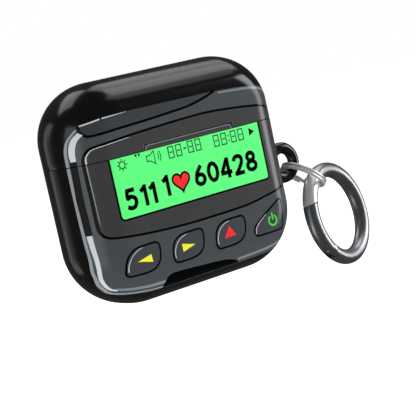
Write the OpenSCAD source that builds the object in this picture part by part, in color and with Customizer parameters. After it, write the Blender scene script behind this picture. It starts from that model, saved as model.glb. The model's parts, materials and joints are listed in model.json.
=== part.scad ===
/* [Cover] */
// Width of the cover
cover_w = 57.5; // [56:0.5:59]
// Height of the cover
cover_h = 51; // [50:0.5:52]
// Depth of the cover
cover_d = 24.4; // [24:0.1:25]
// Corner radius of the two top corners, seen from the front
corner_top = 12.9; // [12:0.1:14]
// Corner radius of the two bottom corners, seen from the front
corner_bottom = 14.2; // [13:0.1:15]
// How far in from the outline the rounded edge reaches
edge_in = 8; // [7.5:0.1:9]
// How far down the side the rounded edge reaches
edge_deep = 11.4; // [10.5:0.1:11.6]
// Wall of the hard cover
cover_wall = 1.4; // [1.3:0.1:1.5]
// Height of the seam between the base and the lid
seam_z = 33.75; // [33:0.25:34.5]
// Width of the thumb tongue at the front of the seam
tongue_w = 24.8; // [20:0.2:28]
// Height of the thumb tongue
tongue_h = 1.25; // [0.8:0.05:1.6]
// Thickness of the printed film
film = 0.08; // [0.06:0.01:0.1]

/* [Printed face] */
// Left edge of the display
display_left = -22; // [-23:0.1:-21]
// Right edge of the display
display_right = 20; // [19:0.1:21]
// Bottom edge of the display
display_low = 20.2; // [19:0.1:21]
// Top edge of the display
display_high = 33.4; // [32:0.1:33.5]

/* [Charging case] */
// Gap between the cover and the charging case
case_gap = 0.15; // [0.1:0.01:0.2]
// Wall of the charging case
case_wall = 1.2; // [1:0.1:1.4]
// Greatest opening angle that the hinge relief leaves room for
lid_relief = 104; // [100:1:110]

/* [Earbuds] */
// Distance of each earbud from the middle
bud_x = 13.5; // [13:0.1:14]
// Radius of an earbud's head
bud_r = 7.5; // [7:0.1:7.6]
// Radius of an earbud's stem
stem_r = 2.6; // [2.4:0.1:2.8]
// Lowest point of an earbud's stem
stem_low = 8.4; // [8.2:0.1:9]

/* [Rings] */
// Radius of the carry loop to the middle of its bar
loop_r = 3.6; // [3.55:0.05:3.7]
// Radius of the carry loop's bar
loop_bar = 1.42; // [1.36:0.02:1.42]
// Radius of the split ring to the middle of its wire
split_r = 5.45; // [5.4:0.05:5.6]
// Radius of the split ring's wire
split_wire = 0.42; // [0.4:0.01:0.44]
// Radius of the gate ring to the middle of its bar
gate_r = 11.1; // [10.9:0.1:11.3]
// Radius of the gate ring's bar
gate_bar = 1.85; // [1.75:0.05:1.9]

/* [Hidden] */
$fn = 48;

edge_steps = 8;
half_seam = 0.1;
far = 40;
case_in = cover_wall + case_gap;
case_inner = case_in + case_wall;
case_rear = cover_d / 2 - case_in;
case_front = -case_rear;

// The hinge runs along X, just inside the rear face of the charging case
hinge_y = case_rear - 0.3;
barrel_r = 1.35;
barrel_room = 1.55;
pin_r = 0.6;
pin_play = 0.05;
knuckle_end = 12;
knuckle_mid = 6;
knuckle_gap = 0.1;
plate_thick = 0.8;
plate_y = hinge_y - 0.6;
plate_far = 7.5;
plate_near = 1.75;
hinge_room_y = hinge_y - barrel_room;

button_z = 17;
button_r = 2.4;
button_play = 0.1;
button_rim = 0.7;
button_hole_r = 3.6;
light_z = 27;
light_r = 0.9;
board_y = 3.4;
board_thick = 1;
contact_pin_r = 0.5;
contact_y = 1.2;
port_w = 9;
port_t = 3.2;
port_wall = 0.35;
port_tongue_w = 6.6;
port_tongue_t = 0.7;
plug_w = 12;
plug_t = 6;

// The tray holds the earbuds by their heads, and two tubes under it hold their stems
bud_z = 35;
well_r = bud_r + 0.4;
tray_top = seam_z - 0.4;
tray_low = 26.5;
tube_low = 7.2;
tube_r = stem_r + 1.2;
stem_play = 0.3;
grille_r = 2.6;
grille_y = sqrt(bud_r * bud_r - (grille_r + 0.1) * (grille_r + 0.1));
bud_shell = 1;
stem_shell = 0.7;
plug_high = 1.4;
liner_low = seam_z + 0.4;
liner_top = 44.6;

// Magnets in the tray and the lid liner hold the lid shut, and two more hold the earbuds
magnet_x = 3.5;
magnet_y = -6.4;
magnet_r = 1.5;
magnet_long = 3;
side_magnet_x = 22.4;
side_magnet_r = 1.2;

coil_z = 16.3;
coil_r = 9.6;
coil_y = -8.6;
coil_thick = 0.8;

key_w = 9.1;
key_h = 6;
key_z = 10.8;
key_left = [-23.1, -10.9, 1.3];

// The carry loop is in the XZ plane, and the two rings hang from it one through the other
loop_at = [32.5, -2.5, 21.75];
split_turn = [-20, 33.5, -40];
split_hold = [0, 0, -1];
gate_turn = [81.5, 6, 17.5];
gate_hang = 122.5;
gate_sits = 2.75;
nose_angle = 161.5;
nose_gap = 0.3;
nose_slant = 12;
pivot_angle = 228.5;
pivot_room = 2;
pivot_gap = 0.12;
tongue_half = 0.6;
slot_half = 0.7;
pivot_pin_r = 0.5;
pivot_play = 0.05;

function turn_x(v, a) = [v[0], v[1] * cos(a) - v[2] * sin(a), v[1] * sin(a) + v[2] * cos(a)];
function turn_y(v, a) = [v[0] * cos(a) + v[2] * sin(a), v[1], -v[0] * sin(a) + v[2] * cos(a)];
function turn_z(v, a) = [v[0] * cos(a) - v[1] * sin(a), v[0] * sin(a) + v[1] * cos(a), v[2]];
function turned(v, t) = turn_z(turn_y(turn_x(v, t[0]), t[1]), t[2]);

split_at = loop_at + split_hold + turned([split_r, 0, 0], split_turn);
gate_held = split_at + turned([gate_sits, 0, 0], split_turn);
gate_at = gate_held - turned([gate_r * cos(gate_hang), gate_r * sin(gate_hang), 0], gate_turn);

// Half of the cover's cross-section, from its middle out to radius r
function half_section(r, deep, e, s) = concat(
    [for (k = [0:edge_steps]) let (a = 90 * k / edge_steps) [r - e + e * sin(a), -deep / 2 + s - s * cos(a)]],
    [for (k = [edge_steps:-1:0]) let (a = 90 * k / edge_steps) [r - e + e * sin(a), deep / 2 - s + s * cos(a)]]);

module section_to(r, inset) {
    deep = cover_d - 2 * inset;
    polygon(concat([[0, -deep / 2]], half_section(r, deep, edge_in - inset, edge_deep - inset), [[0, deep / 2]]));
}

module corner(x, y, r, from, inset) {
    translate([x, y, 0]) rotate([0, 0, from]) rotate_extrude(angle = 90) section_to(r, inset);
}

module edge_strip(half, y, r, inset) {
    translate([-half, y, 0]) rotate([90, 0, 90]) linear_extrude(2 * half) section_to(r, inset);
}

// The cover's outer form, moved inwards by inset
module form(inset) {
    w = cover_w / 2 - inset;
    h = cover_h / 2 - inset;
    rt = corner_top - inset;
    rb = corner_bottom - inset;
    deep = cover_d - 2 * inset;
    side = half_section(w, deep, edge_in - inset, edge_deep - inset);
    last = len(side) - 1;
    translate([0, 0, cover_h / 2]) rotate([90, 0, 0]) {
        corner(w - rt, h - rt, rt, 0, inset);
        corner(rt - w, h - rt, rt, 90, inset);
        corner(rb - w, rb - h, rb, 180, inset);
        corner(w - rb, rb - h, rb, 270, inset);
        edge_strip(w - rt, h - rt, rt, inset);
        mirror([0, 1, 0]) edge_strip(w - rb, h - rb, rb, inset);
        translate([0, h - rt, 0]) rotate([90, 0, 0]) linear_extrude(2 * h - rt - rb)
            polygon(concat(side, [for (k = [last:-1:0]) [-side[k][0], side[k][1]]]));
    }
}

module box(x0, x1, y0, y1, z0, z1) {
    translate([x0, y0, z0]) cube([x1 - x0, y1 - y0, z1 - z0]);
}

module post(x, y, z0, z1, r) {
    translate([x, y, z0]) cylinder(r = r, h = z1 - z0);
}

// A round bar along Y, from y0 back to y1
module post_y(x, z, y0, y1, r) {
    translate([x, y1, z]) rotate([90, 0, 0]) cylinder(r = r, h = y1 - y0);
}

// A round bar along X on the hinge's axis
module barrel(x0, x1, r) {
    translate([x0, hinge_y, seam_z]) rotate([0, 90, 0]) cylinder(r = r, h = x1 - x0);
}

// Outline with two round ends, width w and thickness t
module slot_outline(w, t) {
    polygon([for (side = [0, 1]) for (k = [0:8]) let (a = -90 + 180 * (side + k / 8))
        [(side == 0 ? 1 : -1) * (w - t) / 2 + t / 2 * cos(a), t / 2 * sin(a)]]);
}

// Everything under the seam, lowered by drop, with the thumb tongue at the front
module under_seam(drop) {
    box(-far, far, -far, far, -far, seam_z - drop);
    round_r = 1;
    half = tongue_w / 2 - drop;
    top = seam_z + tongue_h - drop;
    translate([0, -cover_d / 2 + cover_wall + 0.05, 0]) rotate([90, 0, 0]) linear_extrude(cover_wall + 2)
        polygon(concat([[half, seam_z - 1]],
            [for (k = [0:4]) let (a = 90 * k / 4) [half - round_r + round_r * cos(a), top - round_r + round_r * sin(a)]],
            [for (k = [4:-1:0]) let (a = 90 * k / 4) [round_r - half - round_r * cos(a), top - round_r + round_r * sin(a)]],
            [[-half, seam_z - 1]]));
}

// Room behind the hinge axis that each half gives up so that the lid can swing back
module rear_relief(side) {
    rise = far * tan(lid_relief / 2);
    translate([-far, hinge_y, seam_z]) rotate([90, 0, 90]) linear_extrude(2 * far)
        polygon([[0, 0], [far, side * rise], [far, -side], [0, -side]]);
}

// Window round the hinge barrel
module barrel_window() {
    barrel(-knuckle_end - 0.3, knuckle_end + 0.3, barrel_room);
    box(-knuckle_end - 0.3, knuckle_end + 0.3, hinge_y, far, seam_z - 2.2, seam_z + 2.2);
}

// Printed field, as seen from the front
module field_outline() {
    polygon([[-25.4, 42.3], [-21, 42.9], [20.8, 42.3], [25.4, 40.9], [27.8, 37.6], [28, 15], [25.6, 6.2],
        [22.8, 4.2], [13, 3.5], [-14, 3.5], [-23, 4.2], [-25.6, 6.2], [-28, 15], [-27.8, 38.8]]);
}

module display_outline() {
    r = 0.9;
    polygon(concat([[display_right, display_high], [display_left, display_high]],
        [for (k = [0:4]) let (a = 180 + 90 * k / 4)
            [display_left + r + r * cos(a), display_low + r + r * sin(a)]],
        [for (k = [0:4]) let (a = 270 + 90 * k / 4)
            [display_right - r + r * cos(a), display_low + r + r * sin(a)]]));
}

// Points along a rounded corner at c, from r1 before it to r2 after it
function round_corner(c, before, after, r1, r2) = [for (t = [0:0.2:1])
    c + before * r1 * (1 - t) * (1 - t) + after * r2 * t * t];

// A key outline: two corners are tight, and the two others are broad. The last key is a triangle
module key_outline(x, w, h, broad) {
    tight = 1.4;
    z = key_z - key_h / 2;
    translate([x, z]) polygon(concat(
        round_corner([0, 0], [0, 1], [1, 0], tight, tight),
        round_corner([w, 0], [-1, 0], [0, 1], broad[0], broad[0]),
        round_corner([w, h], [0, -1], [-1, 0], tight, tight),
        round_corner([0, h], [1, 0], [0, -1], broad[1], broad[1])));
}

module key_outlines() {
    for (x = key_left) key_outline(x, key_w, key_h, [4.4, 4.4]);
    difference() {
        key_outline(12.3, 9.8, 7.2, [1.4, 1.4]);
        polygon([[12, 10], [16, 12.4], [21, 14.9], [21, 16], [12, 16]]);
    }
}

module front_prism() {
    translate([0, -5, 0]) rotate([90, 0, 0]) linear_extrude(far) children();
}

// A layer of ink on the front of the cover, wherever the outline lies
module ink() {
    difference() {
        intersection() {
            form(-film);
            front_prism() children();
        }
        form(0);
    }
}

module cover_base() color("#101012") {
    difference() {
        intersection() {
            difference() {
                form(0);
                form(cover_wall);
            }
            under_seam(half_seam);
        }
        rear_relief(-1);
        barrel_window();
        translate([0, 0, -1]) linear_extrude(4) slot_outline(plug_w, plug_t);
        post_y(0, button_z, cover_d / 2 - 4, cover_d / 2 + 1, button_hole_r);
        carry_loop();
    }
}

module cover_lid() color("#101012") {
    difference() {
        form(0);
        form(cover_wall);
        under_seam(-half_seam);
        rear_relief(1);
        barrel_window();
    }
}

module base_print() color("#3d4144") {
    intersection() {
        ink() difference() {
            field_outline();
            display_outline();
            key_outlines();
        }
        under_seam(half_seam);
    }
}

module lid_print() color("#3d4144") {
    difference() {
        ink() field_outline();
        under_seam(-half_seam);
    }
}

module display_print() color("#5cf07c") {
    intersection() {
        ink() display_outline();
        under_seam(half_seam);
    }
}

module key_print() color("#26272a") {
    ink() key_outlines();
}

// Moulded loop, let into the side wall of the base
module carry_loop() color("#101012") {
    translate(loop_at) rotate([90, 0, 0]) rotate_extrude() translate([loop_r, 0]) circle(loop_bar);
}

module adhesive_pads() color("white") {
    thick = case_gap - 0.03;
    for (side = [-1, 1]) box(side * 11 - 6, side * 11 + 6, case_front - thick, case_front, 36, 41);
}

module case_body() color("#f2f2f0") {
    difference() {
        form(case_in);
        form(case_inner);
        box(-far, far, -far, far, seam_z - half_seam, far * 2);
        rear_relief(-1);
        barrel_window();
        box(-knuckle_end - 0.1, knuckle_end + 0.1, plate_y, far, seam_z - plate_far - 0.1, seam_z);
        translate([0, 0, -1]) linear_extrude(5) slot_outline(port_w + 0.2, port_t + 0.2);
        post_y(0, button_z, case_rear - 3, case_rear + 1, button_r + button_play);
        post_y(0, light_z, case_front - 1, case_front + 3, light_r);
    }
}

module case_lid() color("#f2f2f0") {
    difference() {
        form(case_in);
        form(case_inner);
        box(-far, far, -far, far, -1, seam_z + half_seam);
        rear_relief(1);
        barrel_window();
        box(-knuckle_end - 0.1, knuckle_end + 0.1, plate_y, far, seam_z, seam_z + plate_far + 0.1);
    }
}

// A flat hinge plate let into the rear wall, down (side -1) or up (side 1) from the barrel
module leaf(side) {
    z0 = seam_z + side * plate_near;
    z1 = seam_z + side * plate_far;
    box(-knuckle_end, knuckle_end, plate_y, plate_y + plate_thick, min(z0, z1), max(z0, z1));
}

module knuckle_web(x0, x1, side) {
    z1 = seam_z + side * (plate_near + 0.5);
    barrel(x0, x1, barrel_r);
    box(x0, x1, plate_y, plate_y + plate_thick, min(seam_z, z1), max(seam_z, z1));
}

module hinge_plate() color("#c9cacc") {
    difference() {
        union() {
            leaf(-1);
            knuckle_web(-knuckle_end, -knuckle_mid - knuckle_gap, -1);
            knuckle_web(knuckle_mid + knuckle_gap, knuckle_end, -1);
        }
        barrel(-knuckle_end - 1, knuckle_end + 1, pin_r);
    }
}

module hinge_leaf() color("#c9cacc") {
    difference() {
        union() {
            leaf(1);
            knuckle_web(-knuckle_mid, knuckle_mid, 1);
        }
        barrel(-knuckle_end - 1, knuckle_end + 1, pin_r + pin_play);
    }
}

module hinge_pin() color("#d8d8da") {
    barrel(-knuckle_end, knuckle_end, pin_r);
}

module bud_tray() color("#e4e4e2") {
    difference() {
        union() {
            intersection() {
                form(case_inner + 0.1);
                box(-far, far, -far, far, tray_low, tray_top);
            }
            for (side = [-1, 1]) post(side * bud_x, 0, tube_low, tray_low + 1, tube_r);
        }
        for (side = [-1, 1]) {
            translate([side * bud_x, 0, bud_z]) sphere(well_r);
            post(side * bud_x, 0, stem_low, bud_z, stem_r + stem_play);
            for (y = [-contact_y, contact_y]) post(side * bud_x, y, 0, 20, contact_pin_r);
            post(side * magnet_x, magnet_y, tray_top - magnet_long - 0.1, far, magnet_r);
            post(side * side_magnet_x, 0, tray_low + 1.5, far, side_magnet_r);
        }
        box(-knuckle_end - 1, knuckle_end + 1, hinge_room_y, far, 0, far);
    }
}

module lid_liner() color("#e4e4e2") {
    difference() {
        intersection() {
            form(case_inner + 0.1);
            box(-far, far, -far, far, liner_low, liner_top);
        }
        for (side = [-1, 1]) {
            translate([side * bud_x, 0, bud_z]) sphere(well_r + 0.4);
            post(side * magnet_x, magnet_y, 0, liner_low + magnet_long + 0.1, magnet_r);
        }
        box(-knuckle_end - 1, knuckle_end + 1, hinge_room_y, far, 0, far * 2);
    }
}

module lid_magnets() color("#9a9ca0") {
    for (side = [-1, 1])
        post(side * magnet_x, magnet_y, liner_low + 0.1, liner_low + magnet_long + 0.1, magnet_r);
}

module body_magnets() color("#9a9ca0") {
    for (side = [-1, 1]) {
        post(side * magnet_x, magnet_y, tray_top - magnet_long - 0.1, tray_top - 0.1, magnet_r);
        post(side * side_magnet_x, 0, tray_low + 1.5, tray_low + 1.5 + magnet_long, side_magnet_r);
    }
}

module battery() color("#3f6fb0") {
    box(-8.4, 8.4, -4.2, 2.8, 9.6, 25.6);
}

module main_board() color("#1f6b3a") {
    box(-9, 9, board_y, board_y + board_thick, 5.5, 26);
}

module board_components() color("#2b2b2e") {
    rear = board_y + board_thick;
    box(-7.4, -2.4, rear, rear + 1, 21, 25);
    box(1.6, 5.6, rear, rear + 0.9, 21.4, 24.6);
    for (x = [-6, -3, 0, 3, 6]) box(x - 0.8, x + 0.8, rear, rear + 0.8, 9.4, 10.8);
    box(5.4, 7.4, rear, rear + 1.2, 14, 18);
}

module charging_port() color("#b9bbbf") {
    difference() {
        translate([0, 0, case_in + 0.1]) linear_extrude(7) slot_outline(port_w, port_t);
        translate([0, 0, 0]) linear_extrude(case_in + 6.4) slot_outline(port_w - 2 * port_wall, port_t - 2 * port_wall);
    }
    box(-port_tongue_w / 2, port_tongue_w / 2, -port_tongue_t / 2, port_tongue_t / 2,
        case_in + 1, case_in + 6.6);
}

module charge_contacts() color("#d9b45a") {
    for (side = [-1, 1]) for (y = [-contact_y, contact_y])
        post(side * bud_x, y, tube_low - 0.8, stem_low - 0.02, contact_pin_r);
}

module wireless_coil() color("#b5693a") {
    difference() {
        post_y(0, coil_z, coil_y, coil_y + coil_thick, coil_r);
        post_y(0, coil_z, coil_y - 1, coil_y + coil_thick + 1, 5.5);
    }
}

module ferrite_sheet() color("#4a4a4e") {
    box(-11, 11, coil_y + coil_thick + 0.4, coil_y + coil_thick + 0.9, 5.4, 26);
}

module status_light() color("#f4f7ff") {
    post_y(0, light_z, case_front, case_front + case_wall, light_r);
}

module pairing_button() color("#ecebe8") {
    inner = case_rear - case_wall;
    post_y(0, button_z, inner - 0.75, case_rear - 0.05, button_r);
    post_y(0, button_z, inner - 0.75, inner - 0.1, button_r + button_rim);
}

module button_switch() color("#c8c9cc") {
    rear = board_y + board_thick;
    box(-2.5, 2.5, rear, rear + 3.2, button_z - 2.5, button_z + 2.5);
    post_y(0, button_z, rear + 3.2, rear + 3.85, 1.2);
}

module bud_housing(side) color("#f4f4f2") {
    translate([side * bud_x, 0, 0]) difference() {
        union() {
            translate([0, 0, bud_z]) sphere(bud_r);
            post(0, 0, stem_low + plug_high, bud_z - 1, stem_r);
        }
        translate([0, 0, bud_z]) sphere(bud_r - bud_shell);
        post(0, 0, stem_low, bud_z - 1, stem_r - stem_shell);
        post_y(0, bud_z, -bud_r - 1, -bud_r + 2, grille_r);
    }
}

module bud_grille(side) color("#55585c") {
    post_y(side * bud_x, bud_z, -grille_y + 0.1, -grille_y + 0.5, grille_r);
}

module bud_driver(side) color("#8a8c90") {
    post_y(side * bud_x, bud_z, -5.3, -3.3, 3.3);
}

module bud_cell(side) color("#aeb4bb") {
    post_y(side * bud_x, bud_z, -1.6, 2.6, 4);
}

module bud_contact(side) color("#c2c4c8") {
    post(side * bud_x, 0, stem_low, stem_low + plug_high, stem_r);
    post(side * bud_x, 0, stem_low + 1, stem_low + plug_high + 1.2, stem_r - stem_shell);
}

module left_bud_housing() bud_housing(-1);
module left_bud_grille() bud_grille(-1);
module left_bud_driver() bud_driver(-1);
module left_bud_cell() bud_cell(-1);
module left_bud_contact() bud_contact(-1);
module right_bud_housing() bud_housing(1);
module right_bud_grille() bud_grille(1);
module right_bud_driver() bud_driver(1);
module right_bud_cell() bud_cell(1);
module right_bud_contact() bud_contact(1);

// Two turns of round wire side by side
module split_ring() color("#d6d8da") {
    translate(split_at) rotate(split_turn) for (side = [-1, 1])
        rotate_extrude() translate([split_r, side * split_wire * 0.96]) circle(split_wire);
}

// Part of the gate ring's bar, from one angle to another round the ring
module bar_arc(from, to, r) {
    rotate([0, 0, from]) rotate_extrude(angle = to - from) translate([gate_r, 0]) circle(r);
}

module at_pivot() {
    rotate([0, 0, pivot_angle]) translate([gate_r, 0, 0]) children();
}

// The joint at the nose is square to the line from the pivot, so the gate can swing inwards past it
module at_nose() {
    nose = gate_r * [cos(nose_angle), sin(nose_angle)];
    line = nose - gate_r * [cos(pivot_angle), sin(pivot_angle)];
    translate(nose) rotate([0, 0, atan2(line[1], line[0])]) children();
}

module at_gate_ring() {
    translate(gate_at) rotate(gate_turn) children();
}

module gate_ring() color("#4b4d50") {
    at_gate_ring() {
        difference() {
            union() {
                difference() {
                    bar_arc(pivot_angle - 360, nose_angle + nose_slant, gate_bar);
                    at_pivot() cylinder(r = pivot_room + pivot_gap, h = 10, center = true);
                    at_nose() box(-5, nose_gap / 2, -5, 5, -3, 3);
                }
                at_pivot() cylinder(r = 1.3, h = 2 * tongue_half, center = true);
                at_pivot() translate([-1.1, 0, -tongue_half]) cube([2.2, 3, 2 * tongue_half]);
            }
            at_pivot() cylinder(r = pivot_pin_r, h = 10, center = true);
        }
    }
}

module ring_gate() color("#4b4d50") {
    at_gate_ring() difference() {
        bar_arc(nose_angle - nose_slant, pivot_angle + 20, gate_bar);
        at_nose() box(-nose_gap / 2, 5, -5, 5, -3, 3);
        at_pivot() difference() {
            box(-5, 5, 0, 8, -3, 3);
            cylinder(r = pivot_room, h = 10, center = true);
        }
        at_pivot() cylinder(r = pivot_room + 0.3, h = 2 * slot_half, center = true);
        at_pivot() cylinder(r = pivot_pin_r + pivot_play, h = 10, center = true);
        bar_arc(pivot_angle - 38, pivot_angle - 8, 0.9);
    }
}

module gate_pivot() color("#8d9094") {
    at_gate_ring() at_pivot() cylinder(r = pivot_pin_r, h = 3.4, center = true);
}

// Stack of coils inside the gate that pushes on the ring's tongue
module gate_spring() color("#b8babd") {
    at_gate_ring() for (a = [pivot_angle - 36:3:pivot_angle - 12])
        rotate([0, 0, a]) translate([gate_r, 0, 0]) rotate([90, 0, 0])
            rotate_extrude() translate([0.6, 0]) circle(0.2);
}

cover_base();
cover_lid();
base_print();
lid_print();
display_print();
key_print();
carry_loop();
adhesive_pads();
case_body();
case_lid();
hinge_plate();
hinge_leaf();
hinge_pin();
bud_tray();
lid_liner();
lid_magnets();
body_magnets();
battery();
main_board();
board_components();
charging_port();
charge_contacts();
wireless_coil();
ferrite_sheet();
status_light();
pairing_button();
button_switch();
left_bud_housing();
left_bud_grille();
left_bud_driver();
left_bud_cell();
left_bud_contact();
right_bud_housing();
right_bud_grille();
right_bud_driver();
right_bud_cell();
right_bud_contact();
split_ring();
gate_ring();
ring_gate();
gate_pivot();
gate_spring();
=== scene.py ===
import json
from math import acos, cos, degrees, hypot, pi, radians, sin, sqrt

import bmesh
import bpy
from mathutils import Matrix, Vector


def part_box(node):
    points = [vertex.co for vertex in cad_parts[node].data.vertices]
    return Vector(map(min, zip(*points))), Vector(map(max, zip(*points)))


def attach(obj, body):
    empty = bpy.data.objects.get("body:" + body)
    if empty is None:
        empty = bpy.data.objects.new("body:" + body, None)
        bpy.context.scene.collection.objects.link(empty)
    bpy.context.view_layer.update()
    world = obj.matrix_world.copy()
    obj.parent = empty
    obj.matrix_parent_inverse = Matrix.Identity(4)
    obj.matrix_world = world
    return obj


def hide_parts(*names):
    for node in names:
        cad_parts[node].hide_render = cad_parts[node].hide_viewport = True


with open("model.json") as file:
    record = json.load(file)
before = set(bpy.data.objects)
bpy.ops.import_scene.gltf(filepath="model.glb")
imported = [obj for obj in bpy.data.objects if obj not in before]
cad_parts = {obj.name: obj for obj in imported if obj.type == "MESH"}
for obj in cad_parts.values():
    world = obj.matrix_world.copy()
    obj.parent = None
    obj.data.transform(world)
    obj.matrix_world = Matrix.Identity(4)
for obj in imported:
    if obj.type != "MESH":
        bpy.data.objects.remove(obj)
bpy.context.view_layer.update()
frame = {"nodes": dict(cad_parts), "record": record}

# All shapes are written in millimetres and become metres where their meshes are made
MM = 0.001

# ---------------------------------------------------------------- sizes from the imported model


def node_box(node):
    """Lowest and highest corner of a CAD node in millimetres."""
    low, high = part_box(node)
    return low / MM, high / MM


base_low, base_high = node_box("cover_base")
lid_low, lid_high = node_box("cover_lid")
display_low, display_high = node_box("display_print")
loop_low, loop_high = node_box("carry_loop")
pin_low, pin_high = node_box("hinge_pin")

WIDTH = base_high.x - base_low.x
DEPTH = base_high.y - base_low.y
HEIGHT = lid_high.z
HALF_SEAM = 0.1
SEAM = lid_low.z - HALF_SEAM
TONGUE_TOP = base_high.z + HALF_SEAM
TONGUE_HALF = 12.4
CORNER_TOP = 12.9
CORNER_BOTTOM = 14.2
EDGE_IN = 8.0
EDGE_DEEP = 11.4
WALL = 1.4
HINGE = Vector((0, (pin_low.y + pin_high.y) / 2, SEAM))
KNUCKLE_END = pin_high.x
BUTTON_Z = 17.0
BUTTON_HOLE_R = 3.6
BARREL_ROOM_R = 1.55
BARREL_ROOM_HALF = 2.2
LID_LEAN = 1.28
PLUG_WIDTH = 12
PLUG_THICK = 6
RIM = 0.12
FINE_RIM = 0.1
TONGUE_CORNER = 1.0
BARREL_ROOM_SIDE = 0.3
FLAT_STEP = 1.0
# Reach of cutters that go right through
FAR = 60.0

EDGE_STEPS = 24
CORNER_STEPS = 20
STRAIGHT_STEPS = 8

# ---------------------------------------------------------------- materials

materials = {}


def rgb(text):
    """Linear colour from a hex string."""
    parts = [int(text[k:k + 2], 16) / 255 for k in (0, 2, 4)]
    return [p / 12.92 if p <= 0.04045 else ((p + 0.055) / 1.055) ** 2.4 for p in parts]


COAT_ROUGH = 0.06
ROUGH_SPREAD = 0.2
RELIEF = 0.02 * MM


def finish(name, colour, rough, metal=0.0, coat=0.0, grain=700, vary=0.06, bump=0.03,
           stretch=(1, 1, 1), mirror=0.5):
    """A shader whose colour, roughness and bump vary with fine procedural noise."""
    m = bpy.data.materials.new(name)
    m.use_nodes = True
    tree = m.node_tree
    shader = tree.nodes["Principled BSDF"]
    shader.inputs["Metallic"].default_value = metal
    shader.inputs["Coat Weight"].default_value = coat
    shader.inputs["Coat Roughness"].default_value = COAT_ROUGH
    shader.inputs["Specular IOR Level"].default_value = mirror
    place = tree.nodes.new("ShaderNodeTexCoord")
    scaled = tree.nodes.new("ShaderNodeMapping")
    scaled.inputs["Scale"].default_value = stretch
    tree.links.new(place.outputs["Object"], scaled.inputs["Vector"])
    noise = tree.nodes.new("ShaderNodeTexNoise")
    noise.inputs["Scale"].default_value = grain
    noise.inputs["Detail"].default_value = 4
    tree.links.new(scaled.outputs["Vector"], noise.inputs["Vector"])
    mix = tree.nodes.new("ShaderNodeMix")
    mix.data_type = "RGBA"
    mix.inputs["A"].default_value = [c * (1 - vary) for c in colour] + [1]
    mix.inputs["B"].default_value = [min(1, c * (1 + vary)) for c in colour] + [1]
    tree.links.new(noise.outputs["Fac"], mix.inputs["Factor"])
    tree.links.new(mix.outputs["Result"], shader.inputs["Base Color"])
    spread = tree.nodes.new("ShaderNodeMapRange")
    spread.inputs["To Min"].default_value = rough * (1 - ROUGH_SPREAD)
    spread.inputs["To Max"].default_value = rough * (1 + ROUGH_SPREAD)
    tree.links.new(noise.outputs["Fac"], spread.inputs["Value"])
    tree.links.new(spread.outputs["Result"], shader.inputs["Roughness"])
    if bump:
        relief = tree.nodes.new("ShaderNodeBump")
        relief.inputs["Strength"].default_value = bump
        relief.inputs["Distance"].default_value = RELIEF
        tree.links.new(noise.outputs["Fac"], relief.inputs["Height"])
        tree.links.new(relief.outputs["Normal"], shader.inputs["Normal"])
    materials[name] = m
    return m


# A wave texture of this scale repeats about once in a unit of length
WAVE_SCALE = 0.31
# Colour painted into the grille's holes: painted shade for the dark seen through open holes
HOLE_SHADE_BLACK = (0.004, 0.004, 0.004, 1)


def woven(name, colour, pitch):
    """A dark metal mesh: two crossed sets of fine waves mark holes in a wire cloth, and the holes are
    painted near-black as painted shade for the dark seen through them.
    """
    m = finish(name, colour, 0.4, metal=1.0, grain=900)
    tree = m.node_tree
    shader = tree.nodes["Principled BSDF"]
    place = tree.nodes["Texture Coordinate"]
    height = None
    for direction in ("X", "Z"):
        wave = tree.nodes.new("ShaderNodeTexWave")
        wave.bands_direction = direction
        wave.inputs["Scale"].default_value = WAVE_SCALE / pitch
        tree.links.new(place.outputs["Object"], wave.inputs["Vector"])
        if height is None:
            height = wave.outputs["Fac"]
        else:
            both = tree.nodes.new("ShaderNodeMath")
            both.operation = "MULTIPLY"
            tree.links.new(height, both.inputs[0])
            tree.links.new(wave.outputs["Fac"], both.inputs[1])
            height = both.outputs["Value"]
    # The holes are painted near-black: painted shade, since the cloth has no real openings
    dark = tree.nodes.new("ShaderNodeMix")
    dark.data_type = "RGBA"
    dark.inputs["A"].default_value = [c * 1.4 for c in colour] + [1]
    dark.inputs["B"].default_value = HOLE_SHADE_BLACK
    tree.links.new(height, dark.inputs["Factor"])
    tree.links.new(dark.outputs["Result"], shader.inputs["Base Color"])
    relief = tree.nodes["Bump"]
    relief.inputs["Strength"].default_value = 0.6
    relief.inputs["Distance"].default_value = 0.05 * MM
    tree.links.new(height, relief.inputs["Height"])


finish("cover_black", rgb("0b0a09"), 0.16, grain=260, bump=0.01)
finish("print_grey", rgb("42474a"), 0.24, vary=0.05, bump=0.02, mirror=0.35)
finish("print_green", rgb("58f87c"), 0.3, vary=0.02, bump=0.02)
finish("print_key", rgb("3d4144"), 0.24, vary=0.05, bump=0.02)
finish("print_panel", rgb("3a3a3b"), 0.24, vary=0.05, bump=0.02)
finish("print_top", rgb("363b3e"), 0.24, vary=0.05, bump=0.02)
finish("print_ink", rgb("030303"), 0.16, vary=0.1, bump=0.01, mirror=0.12)
finish("print_bevel", rgb("747c80"), 0.22, vary=0.05, bump=0.02)
finish("print_shine", rgb("c9cccf"), 0.25, vary=0.03, bump=0.02)
finish("print_line", rgb("8d9498"), 0.25, vary=0.05, bump=0.02)
finish("print_segment", rgb("08301a"), 0.3, vary=0.05, bump=0.02)
finish("print_yellow", rgb("f4e52c"), 0.25, vary=0.03, bump=0.02)
finish("print_red", rgb("ef1f26"), 0.25, vary=0.03, bump=0.02)
finish("print_power", rgb("35dd35"), 0.25, vary=0.03, bump=0.02)
finish("adhesive", rgb("d8d6cf"), 0.7, grain=1500, bump=0.4)
finish("case_white", rgb("e9e9e6"), 0.16, coat=0.3, grain=400, vary=0.02, bump=0.01)
finish("liner_plastic", rgb("d9d9d5"), 0.42, grain=2200, vary=0.03, bump=0.12)
finish("hinge_steel", rgb("c3c5c8"), 0.3, metal=1.0, grain=900, stretch=(0.05, 1, 1), bump=0.15)
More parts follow.
